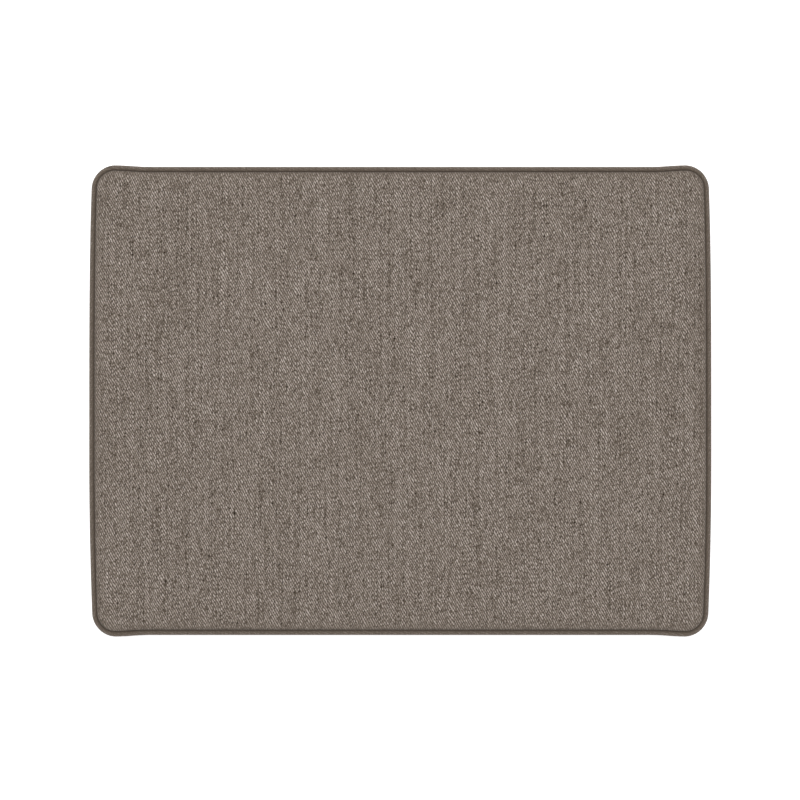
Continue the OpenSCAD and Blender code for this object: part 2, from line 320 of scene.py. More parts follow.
def object_place(tree):
    """Object coordinates in millimetres, as three wires."""
    where = tree.nodes.new("ShaderNodeTexCoord")
    split = tree.nodes.new("ShaderNodeSeparateXYZ")
    tree.links.new(where.outputs["Object"], split.inputs[0])
    return tuple(Wire(split.outputs[axis]) * 1000.0 for axis in "XYZ")


def own_value(tree, name):
    """A number that the mesh carries at each point, 0 on a piece that has none."""
    reader = tree.nodes.new("ShaderNodeAttribute")
    reader.attribute_name = name
    return Wire(reader.outputs["Fac"])


def tint(brightness, colour, powers=(1.0, 1.0, 1.0)):
    """A colour whose channels are colour * brightness ^ power. A power under 1 fades that channel less."""
    made = brightness.tree.nodes.new("ShaderNodeCombineColor")
    for slot_in, level, power in zip(made.inputs, colour, powers):
        channel = brightness.calc("POWER", power) if power != 1.0 else brightness
        brightness.tree.links.new((channel * level).socket, slot_in)
    return made.outputs[0]


def relief(tree, shader, height, depth, strength=1.0):
    """Turns height, from 0 to 1, into a bump this many metres deep."""
    bump = tree.nodes.new("ShaderNodeBump")
    bump.inputs["Strength"].default_value = strength
    bump.inputs["Distance"].default_value = depth
    tree.links.new(height.socket, bump.inputs["Height"])
    tree.links.new(bump.outputs["Normal"], shader.inputs["Normal"])


# %% [markdown]
# ## The heathered twill
# The cover is a 3/1 twill: each warp thread passes over three picks and under one, and its neighbour does
# the same one pick later, which draws the steep diagonal. The warp is spun from light and dark fibres, so
# each float has its own shade, whole threads run lighter or darker for hundreds of picks, and the dark weft
# shows between them. Beside a seam the pattern fades and its colour is darkened: this is painted shade,
# standing in for the shadow of the piping and its groove. A phase counts floats along each warp thread:
# (thread + pick) / 4. Its whole part names the float and gives it a random shade, and its fraction says
# whether the warp is up. Noise bends the threads a little.

# %% Twill pattern
WARP_PITCH, PICK_PITCH = 0.3923, 0.7155
WOBBLE, JITTER, SHARPNESS = 1.4, 0.21, 1.9
FLOAT_SHADE, HALF_FLOAT_SHADE, THREAD_SHADE, STREAK_SHADE = 1.1, 1.1, 0.25, 1.3
WARP_LEVEL, WEFT_LEVEL = 0.34, 0.10
FLUFF, FLUFF_SIZE = 0.36, 0.70
TWILL_MEAN = 0.21
# These three numbers paint shade beside the seam in place of its shadow: how much the groove is darkened, how much
# the weave fades there, and a fainter darkening that reaches further in.
PAINTED_GROOVE_SHADE, SEAM_FADE, SEAM_SHADE = 0.50, 0.6, 0.09
TAUPE, TAUPE_POWERS = (1.123, 1.052, 1.022), (0.93, 1.0, 1.09)


def twill(tree, brightness, contrast):
    """Adds the twill to a tree and returns its shade and its height, both as wires."""
    u, v = cloth_place(tree)
    bend = (cloud(u / 9, v / 14, 1) - 0.5) * WOBBLE + (cloud(u / 3, v / 30, 2) - 0.5) * (WOBBLE / 2)
    thread = ((u + bend) / WARP_PITCH).floor()
    pick = (v + (cloud(u / 12, v / 9, 3) - 0.5) * WOBBLE) / PICK_PITCH
    phase = (thread + pick) / 4 + (chance(thread, 0.0, 4) - 0.5) * JITTER
    up = (((phase - 0.25) * (2 * np.pi)).calc("COSINE") * SHARPNESS + 0.5).clamp()
    shade = (chance(thread, phase.floor(), 5) - 0.5) * FLOAT_SHADE
    shade = shade + (chance(thread, (phase * 2 + 0.5).floor(), 8) - 0.5) * HALF_FLOAT_SHADE
    shade = shade + (chance(thread, 0.0, 6) - 0.5) * THREAD_SHADE
    shade = shade + (cloud(thread, v / 48, 9) - 0.5) * STREAK_SHADE
    fluff = (chance((u / FLUFF_SIZE).floor(), (v / FLUFF_SIZE).floor(), 10) - 0.5) * FLUFF + 1.0
    warp = (shade + 1.0) * WARP_LEVEL
    value = (warp - WEFT_LEVEL) * up + WEFT_LEVEL
    # Painted shade: where the mesh's mask says the cloth lies in or near the groove, the weave fades and the
    # colour darkens.
    painted_seam_shade = own_value(tree, "painted_seam_shade")
    clear = painted_seam_shade.calc("POWER", 0.35) * -SEAM_FADE + 1.0
    value = (value * fluff - TWILL_MEAN) * clear * contrast + TWILL_MEAN
    shaded = (painted_seam_shade * -PAINTED_GROOVE_SHADE + 1.0) * (painted_seam_shade.calc("POWER", 0.09) * -SEAM_SHADE + 1.0)
    return (value * shaded * brightness).calc("MAXIMUM", 0.004), up


def cloth_material(name, brightness, contrast=1.0):
    """A dull woollen finish over the twill. contrast fades the pattern towards its mean."""
    material, tree, shader = new_material(name, 0.92, 0.2, sheen=0.12)
    shade, height = twill(tree, brightness, contrast)
    tree.links.new(tint(shade, TAUPE, TAUPE_POWERS), shader.inputs["Base Color"])
    relief(tree, shader, height, 0.08 * MM, 0.15)
    return material


cover_cloth = cloth_material("cover_cloth", 0.775, 0.93)
piping_cloth = cloth_material("piping_cloth", 0.58, 0.35)
print("twill", len(cover_cloth.node_tree.nodes), "nodes")

# %% [markdown]
# ## How the filling pushes the cover
# Foam and wadding press the cloth out between its seams. Blender's Cloth does this: a closed skin over the
# pad, pinned along both piped seams, is blown up by a little pressure with gravity off. What the step gives
# is how far each part of the cover moves. The panels and the boxing take that movement on their own finer
# grids.

# %% Spline weights
def spline_weights(at, count):
    """A matrix that reads a list of count numbers at fractional places with cubic B-splines, which has no
    corner anywhere. The four weights are (1-f)^3/6, (3f^3-6f^2+4)/6, (-3f^3+3f^2+3f+1)/6 and f^3/6."""
    whole = np.floor(at).astype(int)
    f = at - whole
    weights = [(1 - f) ** 3 / 6, (3 * f**3 - 6 * f**2 + 4) / 6,
               (-3 * f**3 + 3 * f**2 + 3 * f + 1) / 6, f**3 / 6]
    matrix = np.zeros((len(at), count))
    for k, weight in enumerate(weights):
        np.add.at(matrix, (np.arange(len(at)), np.clip(whole + k - 1, 0, count - 1)), weight)
    return matrix


def dome(inset, rim_in, rim_up, reach, crown):
    """A quarter of an ellipse: rim_up at rim_in, rising steeply, and level at crown from reach inwards."""
    t = np.clip((reach - inset) / (reach - rim_in), 0, 1)
    return rim_up + (crown - rim_up) * np.sqrt(1 - t * t)


# %% The skin and its simulation
SIDE_ROWS = 7
LIFT_CAP, LIFT_SOFTNESS = 1.2 * MM, 12 * MM
BULGE_CAP, BULGE_SOFTNESS = 1.4 * MM, 0.4 * MM
SIM_GRID = pad_grid(7 * MM, 3)


def skin():
    """The pad's closed skin on a coarse grid: top panel, boxing and bottom panel, sharing their seams."""
    radius = CORNER * np.sin(SIM_GRID["share"] * np.pi / 2)
    x, y = settled(SIM_GRID["cx"] + SIM_GRID["nx"] * radius, SIM_GRID["cy"] + SIM_GRID["ny"] * radius)
    inset = CORNER - radius
    top = np.stack([x, y, SEAM_HIGH + dome(inset, 0, 0, TOP_REACH, TOP_CROWN)], -1)
    bottom = np.stack([x, y, SEAM_LOW - dome(inset, 0, 0, BOTTOM_REACH, BOTTOM_CROWN)], -1)
    rim = rim_of(SIM_GRID)
    levels = np.linspace(SEAM_HIGH, SEAM_LOW, SIDE_ROWS + 2)[1:-1]
    sides = np.stack([ring(rim, 0, z) for z in levels])
    return top, bottom, sides


def inflated(top, bottom, sides, pressure=2.0, frames=20):
    """Where the skin's points are after the pressure. Seams stay where the piping holds them."""
    size = top[..., 0].size
    loop = rim_numbers(top.shape[:2])
    flat = grid_faces(*top.shape[:2])
    wall = wall_faces(loop, len(sides), 2 * size, [size + loop])
    faces = np.concatenate([flat, flat[:, ::-1] + size, wall])
    points = np.concatenate([top.reshape(-1, 3), bottom.reshape(-1, 3), sides.reshape(-1, 3)])
    obj = make_piece("skin", points, faces)
    held = obj.vertex_groups.new(name="seams")
    held.add(np.concatenate([loop, size + loop]).tolist(), 1.0, "REPLACE")
    cloth = obj.modifiers.new("Cloth", "CLOTH")
    cloth.settings.quality = 6
    cloth.settings.mass = 0.2
    cloth.settings.tension_stiffness = cloth.settings.compression_stiffness = 40
    cloth.settings.bending_stiffness = 2
    cloth.settings.use_pressure = True
    cloth.settings.uniform_pressure_force = pressure
    cloth.settings.effector_weights.gravity = 0
    cloth.settings.vertex_group_mass = "seams"
    cloth.collision_settings.use_collision = False
    for number in range(1, frames + 1):
        scene.frame_set(number)
    done = obj.evaluated_get(bpy.context.evaluated_depsgraph_get()).to_mesh()
    after = np.zeros(len(done.vertices) * 3)
    done.vertices.foreach_get("co", after)
    scene.frame_set(1)
    bpy.data.objects.remove(obj)
    after = after.reshape(-1, 3)
    return after[:size].reshape(top.shape), after[2 * size:].reshape(sides.shape)


skin_top, skin_bottom, skin_sides = skin()
blown_top, blown_sides = inflated(skin_top, skin_bottom, skin_sides)
lift = LIFT_CAP * np.tanh((blown_top[..., 2] - skin_top[..., 2]) / LIFT_SOFTNESS)
outward = np.stack([rim_of(SIM_GRID)[n] for n in ("nx", "ny")], -1)
pushed = ((blown_sides - skin_sides)[..., :2] * outward).sum(-1)
bulge = BULGE_CAP * np.tanh(pushed / BULGE_SOFTNESS)
print("pressure lifts the top by up to", round(lift.max() / MM, 2), "mm")
print("and bows the boxing by up to", round(bulge.max() / MM, 2), "mm")

# %% [markdown]
# ## The two panels
# Each panel is one cut of cloth. It comes up from its seam allowance inside the pad, leans out against the
# piping, turns over a tight lip and runs level across the filling. The lip leaves a narrow groove beside
# the piping, which is what makes a piped edge read. The bottom panel is the same cut turned over, and it is
# flat where it rests. Small uneven pulls from the stitches keep the edge from looking machined.

# %% Panels
LIP_IN, LIP_UP = 1.65 * MM, 2.5 * MM
PANEL_GRID = pad_grid(4 * MM, 20)


def pulls(x, y, seed):
    """Uneven pulls along a seam, about 1 high: five sine waves with random directions and phases."""
    draw = np.random.default_rng(seed)
    total = 0
    for wave in (9, 13, 21, 34, 55):
        turn, phase = draw.uniform(0, 2 * np.pi, 2)
        total = total + np.sin(2 * np.pi * (x * np.cos(turn) + y * np.sin(turn)) / (wave * MM) + phase)
    return total / 2.2


def panel(name, seam, way, crown, reach, raised, seed):
    """A panel's outside. way is 1 for the top and -1 for the bottom, and raised is its lift by pressure."""
    grid = PANEL_GRID
    rim = rim_of(grid)
    radius = (CORNER - LIP_IN) * np.sin(grid["share"] * np.pi / 2)
    x, y = settled(grid["cx"] + grid["nx"] * radius, grid["cy"] + grid["ny"] * radius)
    inset = CORNER - radius
    near = np.exp(-((inset - LIP_IN) / (5 * MM)) ** 2) * smooth((inset - LIP_IN) / (2 * MM))
    up = dome(inset, LIP_IN, LIP_UP, reach, crown) + raised + 0.10 * MM * pulls(x, y, seed) * near
    flat = np.stack([x, y, seam + way * up], -1)
    # from the lip down beside the piping and on down the seam allowance
    steps = [(1.7, 2.1), (1.9, 1.6), (2.25, 1.0), (2.6, 0.3), (2.7, -0.6), (2.7, -3.0), (2.7, -8.0)]
    rings = [ring(rim, inset_mm * MM, seam + way * up_mm * MM) for inset_mm, up_mm in steps]
    points = np.concatenate([flat.reshape(-1, 3), *rings])
    size, around = grid["cx"].size, len(rim["cx"])
    loop = rim_numbers(grid["cx"].shape)
    faces = np.concatenate([grid_faces(*grid["cx"].shape), wall_faces(loop, len(steps), size)])
    drop = np.cumsum([0.4, 0.6, 0.7, 0.8, 0.9, 2.4, 5.0]) * MM
    outward = np.stack([rim["nx"], rim["ny"]], -1)
    laid = flat[..., :2].reshape(-1, 2)
    cut = np.concatenate([laid, *[laid[loop] + outward * d for d in drop]])
    # Mask for painted shade in the cloth's colour: 1 down the lip into the groove, fading over about a millimetre
    # inwards.
    painted_seam_shade = np.concatenate([np.exp(-(inset - LIP_IN) / (0.9 * MM)).ravel(), np.ones(len(steps) * around)])
    obj = make_piece(name, points, faces if way > 0 else faces[:, ::-1], cut * (1, way), painted_seam_shade=painted_seam_shade)
    return thicken(obj, CLOTH)


def on_panel(field):
    """A field of the coarse skin read on the fine panel grid, and faded to nothing at the lip."""
    weights = []
    for side in ("qx", "qy"):
        coarse = SIM_GRID[side]
        at = np.interp(PANEL_GRID[side], coarse, np.arange(len(coarse)))
        weights.append(spline_weights(at, len(coarse)))
    return weights[0] @ field @ weights[1].T * (1 - PANEL_GRID["share"] ** 2)


top_cloth = panel("top_cloth", SEAM_HIGH, 1, TOP_CROWN, TOP_REACH, on_panel(lift), 3)
bottom_cloth = panel("bottom_cloth", SEAM_LOW, -1, BOTTOM_CROWN, BOTTOM_REACH, 0, 4)
dress(top_cloth, cover_cloth, "cover_cloth", "cover", "top_panel")
dress(bottom_cloth, cover_cloth, "cover_cloth", "cover", "bottom_panel")

# %% [markdown]
# ## Strips that follow the seam
# Piping and boxing are long strips with one section all the way round. A section is a short path in the
# plane across the edge: how far in from the seam, and how high. Control points are rounded off with a
# spline, and the path is given its thickness by stepping the same distance to both sides of it. Then it is
# carried round.

# %% Sections and sweeps
def rounded_path(points, count):
    """count points along a Catmull-Rom spline through the control points, evenly spread by length."""
    p = np.asarray(points, float)
    p = np.concatenate([[2 * p[0] - p[1]], p, [2 * p[-1] - p[-2]]])
    t = np.linspace(0, len(p) - 3, 24 * (len(p) - 3) + 1)
    k = np.minimum(t.astype(int), len(p) - 4)
    f = (t - k)[:, None]
    a, b, c, d = p[k], p[k + 1], p[k + 2], p[k + 3]
    curve = 0.5 * (2 * b + (c - a) * f + (2 * a - 5 * b + 4 * c - d) * f**2 + (3 * b - a - 3 * c + d) * f**3)
    length = np.concatenate([[0], np.cumsum(np.linalg.norm(np.diff(curve, axis=0), axis=1))])
    even = np.linspace(0, length[-1], count)
    return np.stack([np.interp(even, length, curve[:, i]) for i in (0, 1)], -1), even


def thick_section(path, thickness):
    """The closed outline of a path with this thickness: the path stepped half of it to one side, then back
    along the other side. The step is at right angles to the path's own direction."""
    way = np.gradient(path, axis=0)
    side = np.stack([-way[:, 1], way[:, 0]], -1) / np.linalg.norm(way, axis=1)[:, None]
    return np.concatenate([path + side * thickness / 2, (path - side * thickness / 2)[::-1]])


def swept_points(rim, section, seam=0.0, way=1):
    """A section of (inset, height) carried round the rim: one ring of points for each of its points."""
    return np.stack([ring(rim, i, seam + way * h) for i, h in section])


SWEEP_RIM = rim_of(pad_grid(3 * MM, 14))
ALONG, AROUND = rim_length(SWEEP_RIM)
print("seam length", round(AROUND, 3), "m")

# %% [markdown]
# ## The piping
# Piping is a strip cut on the bias, at 45 degrees to the threads so that it bends round corners, and folded
# round a cord. Its two edges make the flange that is caught in the seam. The section goes up one side of
# the flange, round the cord and down the other side. The cloth is pulled tight on the cord, so that part is
# close to a circle. Its weave map is turned 45 degrees, and slight waves follow the twist of the bias.

# %% Piping covers and cords
PIPE_IN, PIPE_R = 0.0, 1.81 * MM
turn = np.radians(np.arange(-72, -352, -18))
round_part = np.stack([PIPE_IN + PIPE_R * np.cos(turn), PIPE_R * np.sin(turn)], -1)
flange_up = np.array([(1.6, -8.0), (1.6, -5.0), (1.58, -3.2), (1.35, -2.3)]) * MM
flange_down = np.array([(2.0, -0.75), (2.18, -2.0), (2.2, -5.0), (2.2, -8.0)]) * MM
PIPE_PATH, PIPE_WIDTH = rounded_path(np.concatenate([flange_up, round_part, flange_down]), 44)


def piping(name, seam, way, seed):
    """The folded strip. Waves of 0.04 mm run slantwise along it, as bias cloth ripples when it is pulled."""
    section = thick_section(PIPE_PATH, 0.58 * MM)
    width = np.concatenate([PIPE_WIDTH, PIPE_WIDTH[::-1]])
    points = swept_points(SWEEP_RIM, section, seam, way)
    draw = np.random.default_rng(seed)
    slant = 2 * np.pi * (ALONG[None] / (7.3 * MM) + width[:, None] / (5 * MM)) + draw.uniform(0, 6)
    free = np.exp(-((section[:, :1] - PIPE_IN) / (2.4 * MM)) ** 4) * (section[:, 1:] > -1.9 * MM)
    points[..., 2] += way * 0.04 * MM * np.sin(slant) * free
    faces = grid_faces(*points.shape[:2], around=True, closed=True)
    along, across = np.broadcast_arrays(ALONG[None], width[:, None])
    weave = np.stack([along + across, across - along], -1) / np.sqrt(2)
    # Mask for painted shade in the cloth's colour, rising towards the piping's inner side by the groove.
    painted_seam_shade = np.repeat(smooth((section[:, 0] + 0.6 * MM) / (2.2 * MM)), points.shape[1])
    return make_piece(name, points, faces[:, ::-1] if way < 0 else faces, weave, painted_seam_shade=painted_seam_shade)


top_piping = piping("top_piping", SEAM_HIGH, 1, 5)
bottom_piping = piping("bottom_piping", SEAM_LOW, -1, 6)
dress(top_piping, piping_cloth, "piping_cloth", "cover", "top_piping_cover")
dress(bottom_piping, piping_cloth, "piping_cloth", "cover", "bottom_piping_cover")


# %% [markdown]
# The filler cord is three plies of soft cotton laid round each other. In section that is a circle whose
# radius rises and falls three times, and the section turns as it goes along. Its finish is pale fibres in
# the plies' direction.

# %% Twisted cord
def twisted_cord(name, seam, plies=3, pitch=9 * MM, sides=18):
    """radius = r (0.90 + 0.10 |cos(plies/2 (angle - twist))|), where twist grows by a turn in each pitch."""
    turns = round(AROUND / pitch)
    angle = np.linspace(0, 2 * np.pi, sides, endpoint=False)[:, None]
    twist = 2 * np.pi * turns * ALONG[None] / AROUND
    radius = 1.45 * MM * (0.90 + 0.10 * np.abs(np.cos(plies / 2 * (angle - twist))))
    inset, height = PIPE_IN + radius * np.cos(angle), seam + radius * np.sin(angle)
    points = np.stack([ring(SWEEP_RIM, inset[k], height[k]) for k in range(sides)])
    faces = grid_faces(*points.shape[:2], around=True, closed=True)
    along, across = np.broadcast_arrays(ALONG[None], angle * MM)
    return make_piece(name, points, faces[:, ::-1], np.stack([along, across], -1))


filler, tree, shader = new_material("filler_cord", 0.95, 0.1)
along, across = cloth_place(tree)
fibres = cloud(along * 1.2 + across * 3, across * 9 - along * 0.7, 21, 2)
tree.links.new(tint(fibres * 0.5 + 0.5, (0.86, 0.84, 0.78)), shader.inputs["Base Color"])
relief(tree, shader, fibres, 0.1 * MM)
dress(twisted_cord("top_cord", SEAM_HIGH), filler, "filler_cord", "cover", "top_piping_cord")
dress(twisted_cord("bottom_cord", SEAM_LOW), filler, "filler_cord", "cover", "bottom_piping_cord")

# %% [markdown]
# ## The boxing
# The boxing strip is the wall between the two piped seams. Both its edges are turned in, and its two ends
# are turned in as well where the zip's boxing begins, which leaves a fine upright seam there. It is carried
# round the rim from one join to the other, and the pressure's movement bows it out between the seams.

# %% Boxing strip
WALL = 0.3 * MM
EDGE = 2.35 * MM
BOXING_STEPS = [(0.9 * MM, ALLOWANCE), (0.9 * MM, 3.4 * MM), (0.75 * MM, 2.5 * MM), (0.5 * MM, EDGE),
                (WALL, 2.75 * MM), (WALL, 4 * MM)]
# An end of the cloth turns in: how far at each of the first places from the end
TURN_PLACES, TURN_IN = np.array([0, 0.15, 0.4, 0.9]) * MM, np.array([0.55, 0.28, 0.08, 0]) * MM


def boxing_path(count=30):
    """Up inside the lower allowance, over its fold, up the wall, over the upper fold and down inside again."""
    low = [(i, SEAM_LOW + h) for i, h in BOXING_STEPS]
    high = [(i, SEAM_HIGH - h) for i, h in reversed(BOXING_STEPS)]
    middle = [(WALL, SEAM_LOW + s * (SEAM_HIGH - SEAM_LOW)) for s in (0.2, 0.35, 0.5, 0.65, 0.8)]
    return rounded_path(low + middle + high, count)


def side_bulge(rim_share, height):
    """How far pressure pushes the wall out, at a share of the way round and a height, by splines."""
    skin_along, skin_around = rim_length(rim_of(SIM_GRID))
    levels = np.linspace(SEAM_HIGH, SEAM_LOW, SIDE_ROWS + 2)
    field = np.concatenate([bulge[:1] * 0, bulge, bulge[:1] * 0])
    rows = spline_weights(np.interp(-height, -levels, np.arange(len(levels))), len(levels))
    at = np.interp(rim_share, skin_along / skin_around, np.arange(len(skin_along)))
    field = np.concatenate([field[:, -4:], field, field[:, :5]], 1)
    return rows @ field @ spline_weights(at + 4, field.shape[1]).T


path, path_length = boxing_path()
back = (SWEEP_RIM["ny"] > 0.5) & (np.abs(SWEEP_RIM["cx"]) < JOIN_X + 2 * MM) & (SWEEP_RIM["nx"] == 0)
start = int(np.flatnonzero(back)[-1]) + 1
order = np.roll(np.arange(len(back)), -start)[: int((~back).sum())]
strip = {name: SWEEP_RIM[name][order].copy() for name in SWEEP_RIM}
END_PLACES = TURN_PLACES + 0.05 * MM
left_end = {"cx": -JOIN_X - END_PLACES, "cy": np.full(4, HALF_D - CORNER), "nx": np.zeros(4), "ny": np.ones(4)}
right_end = {"cx": JOIN_X + END_PLACES[::-1], "cy": left_end["cy"], "nx": left_end["nx"], "ny": left_end["ny"]}
strip = {name: np.concatenate([left_end[name], strip[name], right_end[name]]) for name in strip}
tuck = np.zeros(len(strip["cx"]))
tuck[:4] = TURN_IN
tuck[-4:] = TURN_IN[::-1]
bow = side_bulge((ALONG / AROUND)[order], path[:, 1])
bow = np.concatenate([np.zeros((len(path), 4)), bow, np.zeros((len(path), 4))], 1)
bow *= smooth((np.maximum(np.abs(strip["cx"]) - JOIN_X, (HALF_D - CORNER - strip["cy"])) / (14 * MM)))[None]
bow *= np.abs(path[:, :1] - WALL) < 0.02 * MM
box_points = np.stack([ring(strip, i + tuck - bow[k], z) for k, (i, z) in enumerate(path)])
strip_along = np.concatenate([[0], np.cumsum(np.linalg.norm(np.diff(ring(strip, 0, 0), axis=0), axis=1))])
weave = np.stack(np.broadcast_arrays(strip_along[None], path_length[:, None]), -1)
boxing = make_piece("boxing_cloth", box_points, grid_faces(*box_points.shape[:2])[:, ::-1], weave)
thicken(boxing, CLOTH, 0)
dress(boxing, cover_cloth, "cover_cloth", "cover", "boxing_strip")

# %% [markdown]
# ## The two halves of the back boxing
# Beside the zip the boxing is folded back on itself, and a row of stitches through the fold holds the tape.
# The thread pulls the cloth in where it goes down, so the wall has a shallow dimple between each two
# stitches. Both halves are one formula, mirrored in height.

# %% Zip boxing
STITCH_PITCH, STITCH_LENGTH = 4 * MM, 3 * MM
stitch_low, stitch_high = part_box("zip_stitching_upper")
STITCH_UP = (stitch_low.z + stitch_high.z) / 2 - ZIP_Z
FOLD_UP = zip_low.z - ZIP_Z
STITCH_COUNT = round((stitch_high.x - stitch_low.x + STITCH_PITCH - STITCH_LENGTH) / STITCH_PITCH)
STITCH_X = (np.arange(STITCH_COUNT) - (STITCH_COUNT - 1) / 2) * STITCH_PITCH


def zip_boxing(name, way):
    """A folded strip along the zip, with a dimple exp(-(distance/1.1 mm)^2) between each two stitches."""
    seam, fold = (SEAM_HIGH - SEAM_LOW) / 2 / MM, FOLD_UP / MM
    profile = [(0.9, seam - 8), (0.9, seam - 3.4), (0.75, seam - 2.5), (0.5, seam - 2.35), (0.3, seam - 2.75),
               (0.3, seam - 5), (0.3, 11.5), (0.3, 8.5), (0.3, fold + 1.1), (0.38, fold + 0.45),
               (0.6, fold + 0.3), (0.83, fold + 0.45), (0.9, fold + 1.1), (0.9, fold + 6)]
    line, length = rounded_path(np.array(profile) * MM, 46)
    half = JOIN_X - 0.1 * MM - WALL
    even = np.linspace(TURN_PLACES[3] - half, half - TURN_PLACES[3], 520)
    x = np.concatenate([TURN_PLACES[:3] - half, even, half - TURN_PLACES[2::-1]])
    tuck = np.interp(half - np.abs(x), TURN_PLACES, TURN_IN)
    to_end = (x + STITCH_PITCH / 2 - STITCH_LENGTH / 2) / STITCH_PITCH
    to_end = (to_end - np.round(to_end)) * STITCH_PITCH
    inside = smooth((STITCH_X[-1] + 4 * MM - np.abs(x)) / (3 * MM))
    dimple = 0.16 * np.exp(-(to_end / (1.1 * MM)) ** 2)[None]
    dimple = dimple * np.exp(-((line[:, 1:] - STITCH_UP) / (1.0 * MM)) ** 2)
    furrow = 0.07 * np.exp(-((line[:, 1:] - STITCH_UP) / (1.3 * MM)) ** 2)
    outer = smooth((0.6 * MM - line[:, :1]) / (0.2 * MM))
    y = HALF_D - line[:, :1] - tuck[None] - (dimple + furrow) * MM * inside[None] * outer
    z = ZIP_Z + way * line[:, 1:]
    points = np.stack([np.broadcast_to(x, y.shape), y, np.broadcast_to(z, y.shape)], -1)
    weave = np.stack(np.broadcast_arrays(-x[None], way * length[:, None]), -1)
    faces = grid_faces(*points.shape[:2])
    obj = make_piece(name, points, faces if way > 0 else faces[:, ::-1], weave)
    thicken(obj, CLOTH, 0)
    return obj


dress(zip_boxing("zip_boxing_upper", 1), cover_cloth, "cover_cloth", "cover", "zip_panel_upper")
dress(zip_boxing("zip_boxing_lower", -1), cover_cloth, "cover_cloth", "cover", "zip_panel_lower")

# %% [markdown]
# ## The zip
# A coil zip is two woven tapes, each with a coil of nylon monofilament sewn along its edge. Every loop of
# one coil faces the space between two loops of the other. One loop is an ellipse that moves along as it
# turns, so the whole coil is one helix, and the second coil is half a pitch further along. Real coils hook
# together and part round the web inside the slider. These don't bend, so they stop just short of the
# middle, which lets the web pass. The tapes are plain ribbed weave, and they run on behind the boxing past
# both ends of the opening.

# %% Tapes
def tape(name, way):
    """A flat strip whose face waves by 0.04 mm, as a woven tape does between its stitches."""
    x = np.linspace(tape_low.x, tape_high.x, 330)
    up = np.linspace(tape_low.z - ZIP_Z, tape_high.z - ZIP_Z, 14)
    ripple = 0.04 * MM * np.sin(x[None] / (1.9 * MM)) * smooth((up[:, None] - 3 * MM) / (3 * MM))
    y = tape_high.y - 0.06 * MM + ripple
    z = np.broadcast_to(ZIP_Z + way * up[:, None], y.shape)
    points = np.stack([np.broadcast_to(x, y.shape), y, z], -1)
    weave = np.stack(np.broadcast_arrays(x[None], up[:, None]), -1)
    faces = grid_faces(*points.shape[:2])
    obj = make_piece(name, points, faces if way > 0 else faces[:, ::-1], weave)
    thicken(obj, tape_high.y - tape_low.y - 0.12 * MM)
    return obj


tape_cloth, tree, shader = new_material("zip_tape", 0.85, 0.25)
along, across = cloth_place(tree)
TAPE_PICK, TAPE_RIB = 0.55, 0.7
row = (along / TAPE_PICK).floor()
rib = (across * (2 * np.pi / TAPE_RIB)).calc("SINE") * 0.5 + 0.5
step = chance((across / TAPE_RIB).floor(), 0.0, 31)
pick_up = ((along / TAPE_PICK + step) * (2 * np.pi)).calc("SINE") * 0.5 + 0.5
yarn = (chance(row, (across / TAPE_RIB).floor(), 32) - 0.5) * 0.35 + 0.8
tree.links.new(tint(yarn * (rib * 0.35 + 0.65), (0.135, 0.112, 0.094)), shader.inputs["Base Color"])
relief(tree, shader, rib * 0.6 + pick_up * 0.4, 0.12 * MM)
dress(tape("tape_upper", 1), tape_cloth, "zip_tape", "cover", "zip_tape_upper")
dress(tape("tape_lower", -1), tape_cloth, "zip_tape", "cover", "zip_tape_lower")


# %% Coils
WIRE_R, COIL_PITCH = 0.27 * MM, 1.3 * MM
# Each coil stops this far short of the zip's middle, which leaves room for the web inside the slider
WEB_ROOM = 0.37 * MM


def coil(name, way, shift, per_loop=8, sides=5):
    """A helix: x = pitch * turns, height = centre + radius * sin, depth = middle + 0.52 mm * cos, with a round
    wire of 0.27 mm about it. The wire's rings stand in the plane of the path's own normal and side."""
    start, end = coil_low.x + WIRE_R + shift, coil_high.x - WIRE_R - COIL_PITCH / 2 + shift
    turns = np.linspace(0, (end - start) / COIL_PITCH, int((end - start) / COIL_PITCH * per_loop))
    far = coil_high.z - ZIP_Z - WIRE_R
    near = WEB_ROOM + WIRE_R
    angle = 2 * np.pi * turns
    middle_y = (coil_low.y + coil_high.y) / 2
    path = np.stack([start + COIL_PITCH * turns, middle_y + 0.52 * MM * np.cos(angle),
                     ZIP_Z + way * ((far + near) / 2 + (far - near) / 2 * np.sin(angle))], -1)
    ahead = np.gradient(path, axis=0)
    ahead /= np.linalg.norm(ahead, axis=1)[:, None]
    side = np.cross(ahead, [1.0, 0, 0])
    side /= np.linalg.norm(side, axis=1)[:, None]
    up = np.cross(side, ahead)
    spin = np.linspace(0, 2 * np.pi, sides, endpoint=False)[:, None, None]
    points = path[None] + WIRE_R * (np.cos(spin) * side[None] + np.sin(spin) * up[None])
    faces = grid_faces(sides, len(path), closed=True)
    ends = [np.arange(sides) * len(path), (np.arange(sides) * len(path) + len(path) - 1)[::-1]]
    return make_piece(name, points, faces, closed_flat=[e.tolist() for e in ends])


nylon, tree, shader = new_material("zip_coil", 0.38, 0.5)
x, y, z = object_place(tree)
worn = cloud(x / 6, z / 2, 41, 2)
tree.links.new(tint(worn * 0.4 + 0.8, (0.105, 0.086, 0.070)), shader.inputs["Base Color"])
relief(tree, shader, cloud(x * 6, z * 6, 42, 1), 0.02 * MM, 0.4)
dress(coil("coil_upper", 1, 0), nylon, "zip_coil", "cover", "zip_coil_upper")
dress(coil("coil_lower", -1, COIL_PITCH / 2), nylon, "zip_coil", "cover", "zip_coil_lower")

# %% [markdown]
# ## The slider, the pull and the stops
# These are small castings and pressings, so their shape is the CAD's own, and what they lack is softened
# edges. A copy of each node has its doubled corners merged and its flat faces joined, and a bevel then
# rounds every edge, which is what catches the light on small metal parts. The finish is tumbled nickel: a
# slightly warm grey with fine scratches in all directions, and a duller film in patches.

